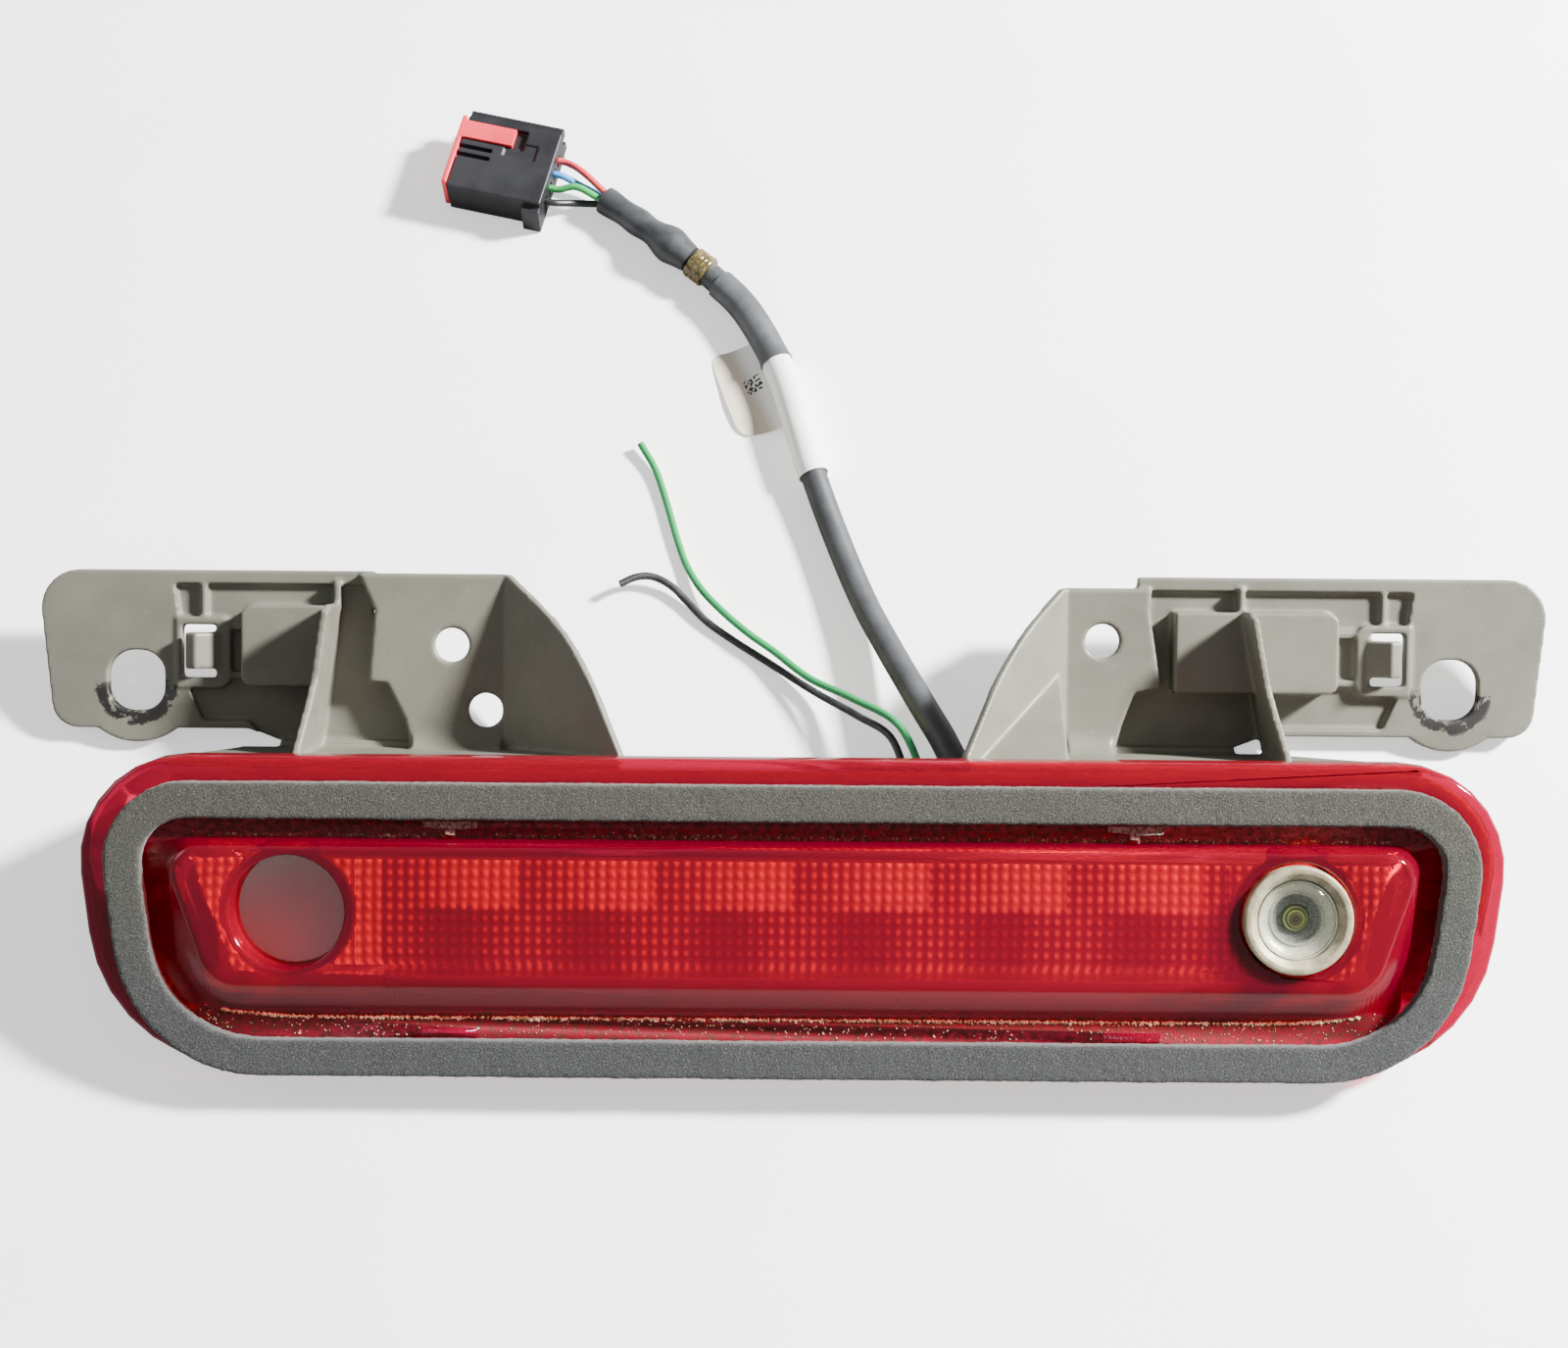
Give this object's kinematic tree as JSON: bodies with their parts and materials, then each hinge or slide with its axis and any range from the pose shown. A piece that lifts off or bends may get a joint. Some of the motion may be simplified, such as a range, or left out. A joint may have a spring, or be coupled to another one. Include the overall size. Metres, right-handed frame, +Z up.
{
  "type": "third brake light",
  "caption": "Long high-mounted brake light with a red lens, foam gasket, two bolt-on brackets and a reversing camera with cable and connector.",
  "frame": {"origin": "on the ground below the middle of the lamp, cables left out, as it lies leaning on its lens edge and bracket lobes", "axes": "+X along the lamp's length towards the camera end, +Y towards the brackets and the cables, +Z up"},
  "size_m": [0.372, 0.2691, 0.0408],
  "materials": {
    "red_lens": "clear red acrylic, polished",
    "red_optic": "clear red acrylic with pillow optics",
    "foam": "dark grey closed-cell foam",
    "grey_carrier": "satin moulded olive grey",
    "metallised": "vacuum-metallised plastic",
    "circuit_board": "green solder mask",
    "led_package": "white package with yellow phosphor",
    "zinc_screw": "zinc plated",
    "black_rubber": "matt black moulded rubber",
    "bezel": "satin beige-grey",
    "camera_glass": "clear, coated",
    "black_plastic": "satin black",
    "cable_jacket": "matt grey jacket",
    "label": "white film label, printed patch",
    "shrink_sleeve": "dark grey heat-shrink",
    "glue": "brown hot-melt bead",
    "wire_red": "red insulation",
    "wire_blue": "blue insulation",
    "wire_green": "green insulation",
    "wire_black": "black insulation",
    "wire_earth": "green insulation with a yellow stripe",
    "connector_black": "satin black moulding",
    "lock_red": "satin red moulding",
    "contact": "tin-plated contact"
  },
  "bodies": {
    "lamp": {"outer_lens": "red_lens", "inner_optic": "red_optic", "gasket": "foam", "housing": "grey_carrier", "bracket_left": "grey_carrier", "bracket_right": "grey_carrier", "reflector": "metallised", "led_board": "circuit_board", "sensor_board": "circuit_board", "led_1": "led_package", "led_2": "led_package", "led_3": "led_package", "led_4": "led_package", "led_5": "led_package", "led_6": "led_package", "board_screw_1": "zinc_screw", "board_screw_2": "zinc_screw", "camera_screw_1": "zinc_screw", "camera_screw_2": "zinc_screw", "wire_grommet": "black_rubber", "vent_plug": "black_rubber", "camera_seal": "black_rubber", "cable_strain_relief": "black_rubber", "camera_bezel": "bezel", "camera_glass": "camera_glass", "camera_front_element": "camera_glass", "camera_barrel": "black_plastic", "camera_body": "black_plastic", "camera_back": "black_plastic", "camera_cable": "cable_jacket", "cable_label": "label", "cable_sleeve": "shrink_sleeve", "shrink_boot": "shrink_sleeve", "glue_ring": "glue", "wire_red": "wire_red", "wire_blue": "wire_blue", "wire_green": "wire_green", "wire_black": "wire_black", "led_wire_black": "wire_black", "led_wire_green": "wire_earth", "connector_housing": "connector_black", "terminal_1": "contact", "terminal_2": "contact", "terminal_3": "contact", "terminal_4": "contact"},
    "lock": {"connector_lock": "lock_red"}
  },
  "joints": [
    {"name": "lock_slide", "type": "slide", "parent": "lamp", "child": "lock", "axis": [-0.9744, 0.225, 0], "range_m": [0, 0.0025]}
  ]
}
